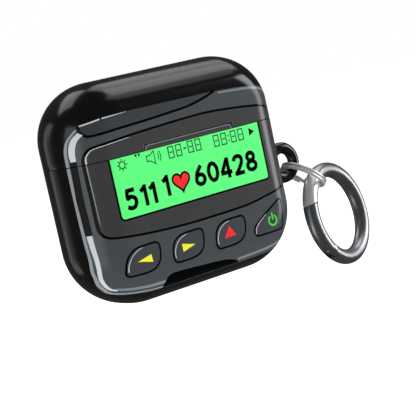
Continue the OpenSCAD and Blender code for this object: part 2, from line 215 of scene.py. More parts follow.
finish("pin_steel", rgb("cfd1d4"), 0.2, metal=1.0, grain=1200, bump=0.05)
finish("magnet", rgb("a5a8ac"), 0.25, metal=1.0, grain=900, bump=0.05)
finish("battery_wrap", rgb("3f6fb0"), 0.35, grain=300, bump=0.2)
finish("board_green", rgb("1c6a38"), 0.35, grain=1800, bump=0.2)
finish("component_black", rgb("2a2a2d"), 0.55, grain=1800, bump=0.1)
finish("port_steel", rgb("b5b7bb"), 0.28, metal=1.0, grain=900, stretch=(1, 1, 0.1), bump=0.1)
finish("contact_gold", rgb("dcb45c"), 0.2, metal=1.0, grain=900)
finish("coil_copper", rgb("b5693a"), 0.3, metal=1.0, grain=400, stretch=(1, 1, 4), bump=0.3)
finish("ferrite", rgb("48484c"), 0.6, grain=1500, bump=0.2)
finish("light_guide", rgb("eef2f8"), 0.25, coat=0.3, vary=0.02)
finish("bud_white", rgb("f2f2ef"), 0.14, coat=0.4, grain=400, vary=0.015, bump=0.01)
woven("grille_mesh", rgb("6a6d72"), 0.35 * MM)
finish("driver_metal", rgb("8e9094"), 0.3, metal=1.0, grain=900)
finish("contact_metal", rgb("c6c8cc"), 0.12, metal=1.0, grain=900)
finish("chrome_wire", rgb("f0f0f1"), 0.3, metal=0.7, grain=1500, bump=0.04)
finish("gunmetal", rgb("9c9ea1"), 0.33, metal=0.95, grain=500, vary=0.05, bump=0.005)
finish("ferrule_metal", rgb("eeeff0"), 0.3, metal=0.7, grain=1300, vary=0.12, stretch=(1, 1, 0.2),
       bump=0.08)

# Every CAD node gets the procedural finish of its slot, whether a piece replaces it or not
for part in frame["record"]["subparts"]:
    cad = frame["nodes"][part["node"]]
    for cad_slot in cad.material_slots:
        cad_slot.link = "OBJECT"
        cad_slot.material = materials[part["material_slot"]]

# ---------------------------------------------------------------- mesh helpers


# Angles in degrees above which an edge shows as a crease
SMOOTH = 35
SHARP = 50
INK_SMOOTH = 40

BAR_SIDES = 32
GATE_SIDES = 40
DOME_STEPS = (0.35, 0.65, 0.88)
TINY = 1e-9


def add_mesh(name, bm, smooth_angle=SMOOTH):
    """Object from a bmesh in millimetres, smooth shaded below an angle."""
    bmesh.ops.scale(bm, vec=(MM, MM, MM), verts=bm.verts)
    mesh = bpy.data.meshes.new(name)
    bm.to_mesh(mesh)
    bm.free()
    obj = bpy.data.objects.new(name, mesh)
    bpy.context.scene.collection.objects.link(obj)
    shade(obj, smooth_angle)
    return obj


def shade(obj, angle):
    """Smooth shading, with creases above an angle."""
    obj.data.shade_smooth()
    obj.data.set_sharp_from_angle(angle=radians(angle))


def piece(obj, body, material, stands_for=()):
    """Gives a finished piece its material and its body, and hides the CAD nodes it stands for."""
    obj.data.materials.clear()
    obj.data.materials.append(materials[material])
    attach(obj, body)
    if stands_for:
        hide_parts(*stands_for)
    return obj


def loft(bm, rings, cap=True):
    """Quads between closed rings of the same length, with the first and last ring filled."""
    made = [[bm.verts.new(p) for p in ring] for ring in rings]
    count = len(rings[0])
    for low, high in zip(made, made[1:]):
        for k in range(count):
            n = (k + 1) % count
            bm.faces.new((low[k], low[n], high[n], high[k]))
    if cap:
        bm.faces.new(made[0])
        bm.faces.new(made[-1])
    return made


def prism(outline, y0, y1):
    """Solid with an outline in XZ, from y0 back to y1, as a cutter."""
    bm = bmesh.new()
    loft(bm, [[(x, y, z) for x, z in outline] for y in (y0, y1)])
    bmesh.ops.recalc_face_normals(bm, faces=bm.faces)
    return add_mesh("cutter", bm)


def block(x0, x1, y0, y1, z0, z1):
    """Box as a cutter."""
    return prism([(x0, z0), (x1, z0), (x1, z1), (x0, z1)], y0, y1)


def lathe(name, profile, at, turn=Matrix.Identity(3), steps=48, smooth_angle=SMOOTH, closed=False):
    """Solid of revolution. The profile holds (radius, height) about the local Z axis."""
    bm = bmesh.new()
    angles = [2 * pi * k / steps for k in range(steps)]
    rings = [[Vector((radius * cos(a), radius * sin(a), height)) for a in angles]
             for radius, height in profile]
    if closed:
        rings.append(rings[0])
    loft(bm, [[at + turn @ p for p in ring] for ring in rings], cap=False)
    bmesh.ops.remove_doubles(bm, verts=bm.verts, dist=1e-4)
    bmesh.ops.recalc_face_normals(bm, faces=bm.faces)
    return add_mesh(name, bm, smooth_angle)


def circle_profile(radius, tube):
    """Section of a ring with a round bar."""
    angles = [2 * pi * k / BAR_SIDES for k in range(BAR_SIDES)]
    return [(radius + tube * cos(a), tube * sin(a)) for a in angles]


def sweep(name, points, radii, sides, round_ends=False):
    """Round bar along a path of points, with a radius at each, closed by flat or domed ends."""
    bm = bmesh.new()
    end = len(points) - 1
    tangents = [(points[min(k + 1, end)] - points[max(k - 1, 0)]).normalized() for k in range(end + 1)]
    across = tangents[0].orthogonal().normalized()
    angles = [2 * pi * j / sides for j in range(sides)]
    rings = []
    for p, t, r in zip(points, tangents, radii):
        across = (across - t * across.dot(t)).normalized()
        up = t.cross(across)
        ring = [p + r * (across * cos(a) + up * sin(a)) for a in angles]
        rings.append((ring, p, t, r))
    body = [r[0] for r in rings]
    if round_ends:
        for last, sign in ((False, -1), (True, 1)):
            ring, p, t, r = rings[-1 if last else 0]
            dome = []
            for step in DOME_STEPS:
                lift = r * sin(step * pi / 2) * 0.5
                shrink = cos(step * pi / 2)
                dome.append([p + sign * t * lift + (q - p) * shrink for q in ring])
            body = body + dome if last else dome[::-1] + body
    loft(bm, body)
    bmesh.ops.recalc_face_normals(bm, faces=bm.faces)
    return add_mesh(name, bm, SHARP)


def cut(obj, *cutters, operation="DIFFERENCE"):
    """Takes the cutters away from obj, or joins them to it, and removes them."""
    for cutter in cutters:
        modifier = obj.modifiers.new("cut", "BOOLEAN")
        modifier.operation = operation
        modifier.solver = "EXACT"
        modifier.object = cutter
        bake(obj)
        bpy.data.objects.remove(cutter)
    return obj


def bake(obj):
    """Applies obj's modifiers to its mesh."""
    graph = bpy.context.evaluated_depsgraph_get()
    mesh = bpy.data.meshes.new_from_object(obj.evaluated_get(graph))
    obj.modifiers.clear()
    obj.data = mesh


def ease_rims(obj, width):
    """Rounds the sharp rims a little and shades the rest smooth."""
    modifier = obj.modifiers.new("rim", "BEVEL")
    modifier.width = width * MM
    modifier.segments = 2
    modifier.limit_method = "ANGLE"
    modifier.angle_limit = radians(SHARP)
    modifier.harden_normals = False
    bake(obj)
    shade(obj, SMOOTH)


# ---------------------------------------------------------------- the cover's form


def outline(inset):
    """The cover's outline, seen from the front, moved inwards."""
    points = []
    corners = [(1, 1, CORNER_TOP, 0), (-1, 1, CORNER_TOP, 90), (-1, -1, CORNER_BOTTOM, 180),
               (1, -1, CORNER_BOTTOM, 270)]
    for x_side, z_side, radius, start in corners:
        cx = x_side * (WIDTH / 2 - radius)
        cz = HEIGHT - radius if z_side > 0 else radius
        angles = [radians(start + 90 * k / CORNER_STEPS) for k in range(CORNER_STEPS + 1)]
        arc = [(cx + (radius - inset) * cos(a), cz + (radius - inset) * sin(a)) for a in angles]
        if points:
            points += between(points[-1], arc[0])
        points += arc
    return points + between(points[-1], points[0])


def between(a, b):
    """Points between two corners' ends."""
    shares = [k / STRAIGHT_STEPS for k in range(1, STRAIGHT_STEPS)]
    return [(a[0] + (b[0] - a[0]) * t, a[1] + (b[1] - a[1]) * t) for t in shares]


def form(name, inset):
    """Closed pebble form of the cover, moved inwards by inset."""
    reach = EDGE_IN - inset
    deep = EDGE_DEEP - inset
    half = DEPTH / 2 - inset
    rows = [(reach + FLAT_STEP, -half)]
    for k in range(EDGE_STEPS + 1):
        a = radians(90 * k / EDGE_STEPS)
        rows.append((reach - reach * sin(a), -half + deep - deep * cos(a)))
    rows += [(e, -y) for e, y in reversed(rows)]
    bm = bmesh.new()
    loft(bm, [[(x, y, z) for x, z in outline(inset + e)] for e, y in rows])
    bmesh.ops.recalc_face_normals(bm, faces=bm.faces)
    return add_mesh(name, bm)


def tongue_path(drop):
    """Top edge of the base at the front, with the raised thumb tongue, from left to right."""
    half = TONGUE_HALF - drop
    top = TONGUE_TOP - drop
    side = SEAM - drop
    radius = TONGUE_CORNER
    angles = [radians(22.5 * k) for k in range(5)]
    left = [(-half + radius - radius * cos(a), top - radius + radius * sin(a)) for a in angles]
    return [(-half, side)] + left + [(-x, z) for x, z in reversed(left)] + [(half, side)]


def relief(side):
    """Wedge behind the hinge axis that each half gives up so that the lid can swing back."""
    rise = FAR * LID_LEAN
    bm = bmesh.new()
    profile = [(HINGE.y, HINGE.z), (HINGE.y + FAR, HINGE.z + side * rise),
               (HINGE.y + FAR, HINGE.z - side), (HINGE.y, HINGE.z - side)]
    loft(bm, [[(x, y, z) for y, z in profile] for x in (-FAR, FAR)])
    bmesh.ops.recalc_face_normals(bm, faces=bm.faces)
    return add_mesh("cutter", bm)


def bar_x(x0, x1, radius):
    """Cylinder along the hinge axis, as a cutter."""
    turn = Matrix.Rotation(pi / 2, 3, "Y")
    return lathe("cutter", [(0, x0), (radius, x0), (radius, x1), (0, x1)], HINGE, turn)


FACE_BACK = Matrix.Rotation(-pi / 2, 3, "X")


def bar_y(x, z, y0, y1, radius):
    """Cylinder from front to back, as a cutter."""
    profile = [(0, y0), (radius, y0), (radius, y1), (0, y1)]
    return lathe("cutter", profile, Vector((x, 0, z)), FACE_BACK, steps=64)


def barrel_window():
    """Cutters for the room round the hinge barrel, open to the back."""
    end = KNUCKLE_END + BARREL_ROOM_SIDE
    return [bar_x(-end, end, BARREL_ROOM_R),
            block(-end, end, HINGE.y, FAR, SEAM - BARREL_ROOM_HALF, SEAM + BARREL_ROOM_HALF)]


def slot_cutter(width, thick, z0, z1):
    """Vertical cutter with two round ends."""
    ring = []
    for side in (1, -1):
        for k in range(13):
            a = radians(-90 + 15 * k)
            ring.append((side * ((width - thick) / 2 + thick / 2 * cos(a)), side * thick / 2 * sin(a)))
    bm = bmesh.new()
    loft(bm, [[(x, y, z) for x, y in ring] for z in (z0, z1)])
    bmesh.ops.recalc_face_normals(bm, faces=bm.faces)
    return add_mesh("cutter", bm)


# The tongue is as thick as the wall, with a little play behind it
TONGUE_BACK = -DEPTH / 2 + WALL + 0.05

base_shell = form("cover_base_shell", 0)
base_top = SEAM - HALF_SEAM
above_front = [(-FAR, base_top)] + tongue_path(HALF_SEAM) + [(FAR, base_top), (FAR, FAR), (-FAR, FAR)]
cut(base_shell, form("cutter", WALL), block(-FAR, FAR, TONGUE_BACK, FAR, base_top, FAR),
    prism(above_front, -FAR, TONGUE_BACK + 0.6), relief(-1), *barrel_window(),
    slot_cutter(PLUG_WIDTH, PLUG_THICK, -2, 3),
    bar_y(0, BUTTON_Z, DEPTH / 2 - 4, DEPTH / 2 + 2, BUTTON_HOLE_R))
ease_rims(base_shell, RIM)
piece(base_shell, "base", "cover_black", stands_for=["cover_base"])

lid_shell = form("cover_lid_shell", 0)
lid_bottom = SEAM + HALF_SEAM
tongue_room = [(x, z if z > lid_bottom else SEAM - 1) for x, z in tongue_path(-HALF_SEAM)]
cut(lid_shell, form("cutter", WALL), block(-FAR, FAR, -FAR, FAR, -FAR, lid_bottom),
    prism(tongue_room, -FAR, TONGUE_BACK), relief(1), *barrel_window())
ease_rims(lid_shell, RIM)
piece(lid_shell, "lid", "cover_black", stands_for=["cover_lid"])

# ---------------------------------------------------------------- printed artwork on the cover


MIN_EDGE = 0.02


def surface(x, z, lift):
    """Point on the cover's front at (x, z), lifted along the surface's normal."""
    half_w = WIDTH / 2
    upper = z > HEIGHT / 2
    radius = CORNER_TOP if upper else CORNER_BOTTOM
    past_x = abs(x) - (half_w - radius)
    past_z = z - (HEIGHT - radius) if upper else radius - z
    if past_x > 0 and past_z > 0:
        far = hypot(past_x, past_z)
        edge = radius - far
        out = (past_x / far, past_z / far)
    elif half_w - abs(x) < min(z, HEIGHT - z):
        edge, out = half_w - abs(x), (1, 0)
    else:
        edge, out = min(z, HEIGHT - z), (0, 1)
    if edge >= EDGE_IN:
        return Vector((x, -DEPTH / 2 - lift, z))
    s = 1 - max(edge, MIN_EDGE) / EDGE_IN
    c = sqrt(1 - s * s)
    across = out[0] if x > 0 else -out[0]
    along = out[1] if upper else -out[1]
    normal = Vector((across * s / EDGE_IN, -c / EDGE_DEEP, along * s / EDGE_IN)).normalized()
    return Vector((x, -(DEPTH / 2 - EDGE_DEEP + EDGE_DEEP * c), z)) + normal * lift


def curve(values, t):
    """Catmull-Rom value between the second and the third of four values."""
    a, b, c, d = values
    return 0.5 * (2 * b + (c - a) * t + (2 * a - 5 * b + 4 * c - d) * t * t
                  + (3 * b - a - 3 * c + d) * t ** 3)


def rounded(points, steps=6, closed=False):
    """Smooth curve through points."""
    count = len(points)
    result = []
    for k in range(count if closed else count - 1):
        places = range(k - 1, k + 3)
        if closed:
            near = [points[j % count] for j in places]
        else:
            near = [points[min(max(j, 0), count - 1)] for j in places]
        for step in range(steps):
            result.append(tuple(curve(values, step / steps) for values in zip(*near)))
    return result if closed else result + [points[-1]]


def stroke(path, width, closed=False, taper=(1, 1)):
    """Quads that follow a path. The width goes from taper[0] to taper[1] of its full value."""
    count = len(path)
    sides = []
    for k in range(count):
        before = path[k - 1] if closed or k else path[k]
        after = path[(k + 1) % count] if closed or k < count - 1 else path[k]
        first = Vector(path[k]) - Vector(before)
        second = Vector(after) - Vector(path[k])
        first = first.normalized() if first.length > TINY else second.normalized()
        second = second.normalized() if second.length > TINY else first
        middle = (first + second).normalized()
        normal = Vector((-middle.y, middle.x))
        stretch = 1 / max(0.5, normal.dot(Vector((-second.y, second.x))))
        share = taper[0] + (taper[1] - taper[0]) * k / max(1, count - 1)
        offset = normal * (width * share * stretch / 2)
        sides.append((Vector(path[k]) + offset, Vector(path[k]) - offset))
    quads = []
    for k in range(count if closed else count - 1):
        a, b = sides[k], sides[(k + 1) % count]
        quads.append([tuple(a[0]), tuple(a[1]), tuple(b[1]), tuple(b[0])])
    return quads


def ring_path(x, z, rx, rz, start=0, end=360, steps=24):
    """Points on an ellipse round (x, z), or on an arc of it."""
    whole = end - start == 360
    angles = [radians(start + (end - start) * k / steps) for k in range(steps if whole else steps + 1)]
    return [(x + rx * cos(a), z + rz * sin(a)) for a in angles]


SOFT_STEPS = 6


def soft_corner(corner, before, after, r1, r2):
    """A rounded corner: the curve from r1 before it to r2 after it."""
    points = []
    for k in range(SOFT_STEPS + 1):
        t = k / SOFT_STEPS
        points.append(tuple(c + b * r1 * (1 - t) ** 2 + a * r2 * t * t
                            for c, b, a in zip(corner, before, after)))
    return points


# The tongue's corners, as the ink's cut sees them, and the rows and columns that cut the ink
TONGUE_CUT = 0.3
FLAT_CUTS = 12
FLAT_CUT_STEP = 0.6
MIDDLE_CUTS = (18, 22, 26, 30)


def in_base(x, z):
    """True below the seam, and on the thumb tongue."""
    if z < SEAM:
        return True
    on_corner = TONGUE_HALF - abs(x) + TONGUE_TOP - z < TONGUE_CUT
    return abs(x) < TONGUE_HALF and z < TONGUE_TOP and not on_corner


def cut_lines(low, high):
    """Lines that cut a decal: steps over the rounded edge, the seam and the tongue."""
    ends = [EDGE_IN * (1 - sin(radians(90 * k / (EDGE_STEPS + 1)))) for k in range(1, EDGE_STEPS + 1)]
    lines = []
    for e in ends:
        for side in (-1, 1):
            lines.append(((side * (WIDTH / 2 - e), 0), (1, 0)))
        lines += [((0, e), (0, 1)), ((0, HEIGHT - e), (0, 1))]
    for k in range(FLAT_CUTS):
        inner_cut = FLAT_CUT_STEP * k
        for side in (-1, 1):
            lines.append(((side * (WIDTH / 2 - EDGE_IN - inner_cut), 0), (1, 0)))
        lines += [((0, EDGE_IN + inner_cut), (0, 1)), ((0, HEIGHT - EDGE_IN - inner_cut), (0, 1))]
    lines += [((0, z), (0, 1)) for z in MIDDLE_CUTS]
    for shift in (-HALF_SEAM, HALF_SEAM):
        lines.append(((0, SEAM + shift), (0, 1)))
        lines.append(((0, TONGUE_TOP + shift), (0, 1)))
        for side in (-1, 1):
            lines.append(((side * (TONGUE_HALF + shift), 0), (1, 0)))
            lines.append(((side * (TONGUE_HALF + shift), TONGUE_TOP - TONGUE_CUT), (side, 1)))
    reach = TONGUE_HALF - 1
    near_tongue = high[1] > SEAM and (high[0] > reach or low[0] < -reach)
    kept = []
    for point, normal in lines:
        if normal[0] and normal[1]:
            wanted = near_tongue
        elif normal[0]:
            wanted = low[0] < point[0] < high[0]
        else:
            wanted = low[1] < point[1] < high[1]
        if wanted:
            kept.append((point, normal))
    return kept


def near_gap(x, z):
    """True in the gap between the base and the lid."""
    if abs(x) > TONGUE_HALF + HALF_SEAM:
        return abs(z - SEAM) < HALF_SEAM
    if abs(x) > TONGUE_HALF - HALF_SEAM:
        return SEAM - HALF_SEAM < z < TONGUE_TOP + HALF_SEAM
    return abs(z - TONGUE_TOP) < HALF_SEAM


# Heights of the ink over the cover: the first layer, each layer above it, and the root in the wall
INK_LOW = 0.02
INK_LAYER = 0.01
INK_ROOT = -0.05
INK_WELD = 2e-3


def decal(name, shapes, level, material, stands_for=None):
    """A closed layer of ink on the cover's front, in one part on the base and one on the lid."""
    flat = bmesh.new()
    for shape in shapes:
        flat.faces.new([flat.verts.new((x, 0, z)) for x, z in shape])
    bmesh.ops.remove_doubles(flat, verts=flat.verts, dist=INK_WELD)
    low = [min(v.co[i] for v in flat.verts) for i in (0, 2)]
    high = [max(v.co[i] for v in flat.verts) for i in (0, 2)]
    for point, normal in cut_lines(low, high):
        everything = flat.verts[:] + flat.edges[:] + flat.faces[:]
        bmesh.ops.bisect_plane(flat, geom=everything, dist=1e-5, plane_co=(point[0], 0, point[1]),
                               plane_no=(normal[0], 0, normal[1]))
    bmesh.ops.triangulate(flat, faces=flat.faces)
    heights = (INK_LOW + INK_LAYER * level, INK_ROOT)
    for body in ("base", "lid"):
        faces = []
        for f in flat.faces:
            centre = f.calc_center_median()
            if not near_gap(centre.x, centre.z) and in_base(centre.x, centre.z) == (body == "base"):
                faces.append(f)
        if not faces:
            continue
        bm = bmesh.new()
        pairs = {}

        def pair(v):
            if v not in pairs:
                pairs[v] = [bm.verts.new(surface(v.co.x, v.co.z, lift)) for lift in heights]
            return pairs[v]

        chosen = set(faces)
        for f in faces:
            corners = [pair(v) for v in f.verts]
            bm.faces.new([c[0] for c in corners])
            bm.faces.new([c[1] for c in reversed(corners)])
            for loop in f.loops:
                if sum(n in chosen for n in loop.edge.link_faces) == 1:
                    a, b = pair(loop.vert), pair(loop.link_loop_next.vert)
                    bm.faces.new((a[0], a[1], b[1], b[0]))
        bmesh.ops.recalc_face_normals(bm, faces=bm.faces)
        obj = add_mesh(f"{name}_{body}", bm, INK_SMOOTH)
        piece(obj, body, material, (stands_for or {}).get(body, ()))
    flat.free()


def line(name, points, width, level, material, taper=(1, 1)):
    """A printed line along a smooth curve through points."""
    decal(name, stroke(rounded(points), width, taper=taper), level, material)


# Outlines of the printed face, in millimetres as (x, z)
field = rounded([
    (-26.0, 41.7), (-21.7, 42.8), (-15.0, 43.1), (9.8, 42.9), (20.7, 42.1), (24.6, 41.0), (27.1, 38.8),
    (28.1, 35.0), (28.25, 28.0), (28.25, 18.0), (28.0, 12.0), (27.1, 8.4), (25.5, 5.6), (23.4, 4.1),
    (18.0, 3.4), (8.0, 3.1), (-14.0, 3.1), (-19.0, 3.3), (-23.8, 4.1), (-25.9, 5.9), (-27.3, 8.6),
    (-28.1, 12.5), (-28.25, 20.0), (-28.25, 33.0), (-28.1, 37.6), (-27.5, 39.9)], closed=True)
decal("print_field", [field], 0, "print_grey",
      stands_for={"base": ["base_print"], "lid": ["lid_print"]})
line("print_outer_line", [
    (-26.1, 41.6), (-27.5, 39.8), (-28.05, 37.6), (-28.15, 33.0), (-28.15, 20.0), (-27.95, 12.0),
    (-27.1, 8.5), (-25.8, 6.1), (-23.6, 4.3), (-18.5, 3.6), (-13.9, 3.4)], 0.26, 1, "print_line")

inner = rounded([
    (-26.4, 33.8), (-26.2, 35.3), (-25.6, 36.5), (-24.0, 37.2), (-17.0, 37.8), (-9.8, 38.2), (0.0, 38.6),
    (8.0, 38.6), (18.8, 37.7), (23.0, 36.9), (25.2, 36.0), (26.2, 34.6), (26.5, 31.5), (26.4, 24.0),
    (26.3, 20.0), (25.6, 18.6), (23.2, 17.5), (18.6, 16.6), (11.6, 15.7), (0.0, 15.5), (-7.0, 15.6),
    (-16.0, 16.1), (-23.4, 16.9), (-25.3, 17.4), (-26.1, 18.4), (-26.4, 20.2), (-26.4, 27.0)],
    closed=True)
decal("print_panel", [inner], 2, "print_panel")
decal("print_panel_line", stroke(inner, 0.5, closed=True), 3, "print_ink")

# The raised-looking lip over the top left of the panel
lip_low = rounded([
    (-25.7, 42.1), (-25.8, 40.9), (-25.2, 39.9), (-24.0, 39.6), (-18.0, 39.9), (-9.3, 40.3), (-3.0, 40.7),
    (1.8, 41.1), (6.2, 42.0), (9.5, 43.0)])
decal("print_lip", [lip_low + [(-15.0, 43.05), (-21.6, 42.7)]], 2, "print_top")
decal("print_lip_line", stroke(lip_low, 0.55), 3, "print_ink")
lip_shine = stroke([(-25.5, 42.15), (-21.7, 42.75)], 0.3)
lip_shine += stroke([(-21.2, 42.8), (-15.0, 43.1)], 0.26, taper=(1, 0.2))
decal("print_lip_shine", lip_shine, 4, "print_shine")

# Frame to the left: white bars with a black stripe between them
line("print_bar_high", [(-25.8, 40.5), (-26.8, 39.5), (-27.3, 38.1), (-27.5, 36.4), (-27.5, 34.9)],
     0.8, 4, "print_shine", (1.15, 0.75))
bar_stripe = [(-27.55, 34.8), (-27.7, 26.6), (-27.6, 18.5)]
decal("print_bar_stripe", stroke(bar_stripe, 0.75), 4, "print_ink")
line("print_bar_low", [(-27.6, 18.4), (-27.4, 13.5), (-26.9, 9.5), (-26.1, 7.3), (-24.9, 5.7), (-23.8, 5.1)],
     0.6, 4, "print_shine", (1, 0.35))

# Lighter bevels along the bottom and the top right
line("print_bevel_left", [(-24.6, 5.5), (-21.5, 4.9), (-18.0, 4.6), (-13.6, 4.5)],
     0.75, 2, "print_bevel", (0.6, 1))
line("print_bevel_right", [(7.2, 4.1), (13.5, 4.3), (19.5, 4.8), (23.6, 5.8), (26.0, 8.2)],
     0.8, 2, "print_bevel", (0.7, 1))
line("print_bevel_top", [(10.4, 42.4), (16.0, 42.1), (20.5, 41.7), (24.2, 40.7), (26.4, 38.8)],
     0.8, 2, "print_bevel", (0.5, 1))
tab = rounded([(-14.2, 3.2), (-13.3, 5.2), (-11.6, 5.9), (-7.8, 5.8), (2.2, 5.1), (5.4, 4.5), (7.0, 3.9),
               (7.8, 3.2)])
decal("print_tab", [tab], 3, "print_ink")

# Highlights just inside the panel's line
line("print_panel_shine", [(-26.0, 33.9), (-25.9, 35.2), (-25.3, 36.2), (-24.2, 36.8), (-20.0, 37.2),
                           (-15.8, 37.5)], 0.26, 4, "print_shine", (1, 0.3))
panel_edge = [(-26.05, 33.8), (-26.0, 27.0), (-25.95, 20.5)]
decal("print_panel_edge", stroke(panel_edge, 0.16, taper=(1, 0.5)), 4, "print_line")

# Display
DISPLAY_CORNER = 1.1
d_left, d_right = display_low.x, display_high.x
d_low, d_high = display_low.z, SEAM - HALF_SEAM
display = [(d_right, d_high), (d_left, d_high)]
display += soft_corner((d_left, d_low), (0, 1), (1, 0), DISPLAY_CORNER, DISPLAY_CORNER)
display += soft_corner((d_right, d_low), (-1, 0), (0, 1), DISPLAY_CORNER, DISPLAY_CORNER)
decal("print_display", [display], 4, "print_green", {"base": ["display_print"]})
decal("print_display_line", stroke(display[1:] + display[:1], 0.42), 5, "print_ink")

# Status row over the message
STATUS_LINE = 0.25
STATUS_DIGIT = (1.35, 2.5)
STATUS_STEP = 2.15
SUN_R = 0.75
SUN_LINE = 0.24
SUN_RAYS = 8
RAY_ENDS = (0.95, 1.35)
SPEAKER_ARC = 48
TONGUE_HIGHLIGHT_WIDTH = 0.13


def outlined_eight(x, z):
    """A dim seven-segment digit with every segment showing."""
    w, h = STATUS_DIGIT
    box = stroke([(x, z), (x + w, z), (x + w, z + h), (x, z + h)], STATUS_LINE, closed=True)
    return box + stroke([(x + STATUS_LINE, z + h / 2), (x + w - STATUS_LINE, z + h / 2)], STATUS_LINE)


def sun(x, z):
    """A small ring with rays round it."""
    quads = stroke(ring_path(x, z, SUN_R, SUN_R), SUN_LINE, closed=True)
    for k in range(SUN_RAYS):
        a = radians(360 / SUN_RAYS * k)
        quads += stroke([(x + r * cos(a), z + r * sin(a)) for r in RAY_ENDS], SUN_LINE)
    return quads


status = []
for first, low in ((-6.4, 30.75), (-0.9, 30.85), (6.5, 30.6), (11.5, 30.6)):
    for k in (0, 1):
        status += outlined_eight(first + STATUS_STEP * k, low)
status += stroke([(-2.25, 32.1), (-1.45, 32.1)], 0.34)
for z in (31.2, 32.3):
    status += [ring_path(10.75, z, 0.2, 0.2, steps=10)]
status += sun(-19.0, 32.0)
speaker = [(-12.4, 31.3), (-11.5, 31.3), (-10.3, 30.4), (-10.3, 33.3), (-11.5, 32.5), (-12.4, 32.5)]
status += stroke(speaker, 0.22, closed=True)
for r in (0.9, 1.5):
    status += stroke(ring_path(-10.1, 31.9, r, r, -SPEAKER_ARC, SPEAKER_ARC, 8), 0.2)
decal("print_status", status, 5, "print_segment")
marks = [[(-15.5, 33.5), (-14.75, 33.5), (-15.0, 32.75)],
         [(-14.5, 33.5), (-13.8, 33.5), (-14.3, 32.75)],
         [(16.9, 32.8), (16.8, 31.0), (18.4, 31.8)]]
decal("print_marks", marks, 5, "print_ink")
# A thin light line along the base's top edge at the tongue: a painted highlight that stands for the light
# caught on the seam's rim, not part of the print
decal("seam_edge_painted_highlight", stroke(tongue_path(HALF_SEAM + 0.12), TONGUE_HIGHLIGHT_WIDTH), 6, "print_line")

# Message row: plain digits and a plain red icon. A digit is a list of paths, each closed or not
two_top = [(0.08, 0.72), (0.16, 0.87), (0.34, 0.92), (0.53, 0.84), (0.56, 0.64), (0.42, 0.4), (0.12, 0.06)]
five_belly = [(0.17, 0.92), (0.14, 0.56), (0.32, 0.61), (0.52, 0.52), (0.58, 0.34), (0.48, 0.14),
              (0.28, 0.08), (0.06, 0.16)]
six_back = [(0.1, 0.34), (0.2, 0.64), (0.48, 0.96)]
GLYPHS = {
    "0": [(True, ring_path(0.34, 0.5, 0.26, 0.41, steps=20))],
    "1": [(False, [(0.1, 0.72), (0.4, 0.92)]), (False, [(0.36, 1.0), (0.36, 0.0)])],
    "2": [(False, rounded(two_top, 4)), (False, [(0.04, 0.08), (0.64, 0.08)])],
    "4": [(False, [(0.48, 0.0), (0.48, 1.0)]), (False, [(0.46, 0.94), (0.06, 0.3)]),
          (False, [(0.0, 0.28), (0.68, 0.28)])],
    "5": [(False, [(0.58, 0.91), (0.1, 0.91)]), (False, rounded(five_belly, 4))],
    "6": [(True, ring_path(0.34, 0.31, 0.25, 0.23, steps=18)), (False, rounded(six_back, 4))],
    "8": [(True, ring_path(0.34, 0.29, 0.26, 0.21, steps=18)),
          (True, ring_path(0.34, 0.73, 0.21, 0.19, steps=16))],
}
DIGIT = 4.7
# The pen's width and the advance after a digit, as shares of its height
PEN = 0.2
ADVANCE = 0.8
ADVANCE_ONE = 0.52


def write(text, x, z):
    """Strokes of a row of digits that starts at (x, z)."""
    quads = []
    for letter in text:
        for closed, path in GLYPHS[letter]:
            quads += stroke([(x + px * DIGIT, z + pz * DIGIT) for px, pz in path], PEN * DIGIT, closed)
        x += (ADVANCE_ONE if letter == "1" else ADVANCE) * DIGIT
    return quads


message = write("511", -20.1, 22.0) + write("1", -10.1, 22.7) + write("60428", -0.9, 22.9)
decal("print_message", message, 6, "print_ink")

HEART = 2.35
HEART_STEPS = 40
heart = []
for k in range(HEART_STEPS):
    t = 2 * pi * k / HEART_STEPS
    rise = 13 * cos(t) - 5 * cos(2 * t) - 2 * cos(3 * t) - cos(4 * t)
    heart.append((-4.6 + HEART * sin(t) ** 3, 25.2 + HEART / 16 * rise))
decal("print_icon", [heart], 6, "print_red")
decal("print_icon_line", stroke(heart, 0.42, closed=True), 7, "print_ink")

# Keys: three alike, and the power key in the corner
KEY_LEFTS = (-23.1, -10.9, 1.3)
KEY_LOW = 7.8
KEY_W = 9.1
KEY_H = 6.0
KEY_TIGHT = 1.3
KEY_BROAD = 4.6
KEY_LINE = 0.42
KEY_SHINE = 0.22


def key_outline(x):
    """Tight corners at the lower left and upper right, broad ones at the others."""
    end, top = x + KEY_W, KEY_LOW + KEY_H
    return (soft_corner((x, KEY_LOW), (0, 1), (1, 0), KEY_TIGHT, KEY_TIGHT)
            + soft_corner((end, KEY_LOW), (-1, 0), (0, 1), KEY_BROAD, KEY_BROAD)
            + soft_corner((end, top), (0, -1), (-1, 0), KEY_TIGHT, KEY_TIGHT)
            + soft_corner((x, top), (1, 0), (0, -1), KEY_BROAD, KEY_BROAD))


power_key = soft_corner((12.4, 7.9), (0.1, 1), (1, 0), 1.5, 1.3)
power_key += soft_corner((21.5, 7.9), (-1, 0), (0.06, 1), 1.2, 1.2)
power_key += soft_corner((22.1, 15.4), (-0.04, -1), (-0.86, -0.5), 1.6, 1.4)
power_key += rounded([(19.4, 13.9), (15.8, 12.0), (13.2, 10.4)], 4)[1:]
keys = [key_outline(x) for x in KEY_LEFTS] + [power_key]
key_lines = []
for key in keys:
    key_lines += stroke(key, KEY_LINE, closed=True)
decal("key_faces", keys, 3, "print_key", {"base": ["key_print"]})
decal("key_lines", key_lines, 4, "print_ink")
shine = []
for x in KEY_LEFTS:
    glint = [(x + 0.55, 8.9), (x + 0.65, 10.3), (x + 1.5, 11.9), (x + 3.0, 13.0), (x + 4.6, 13.45)]
    shine += stroke(rounded(glint), KEY_SHINE, taper=(0.8, 0.5))
glint = [(12.9, 8.6), (13.3, 9.8), (14.6, 11.0), (16.8, 12.3)]
shine += stroke(rounded(glint), KEY_SHINE, taper=(0.9, 0.5))
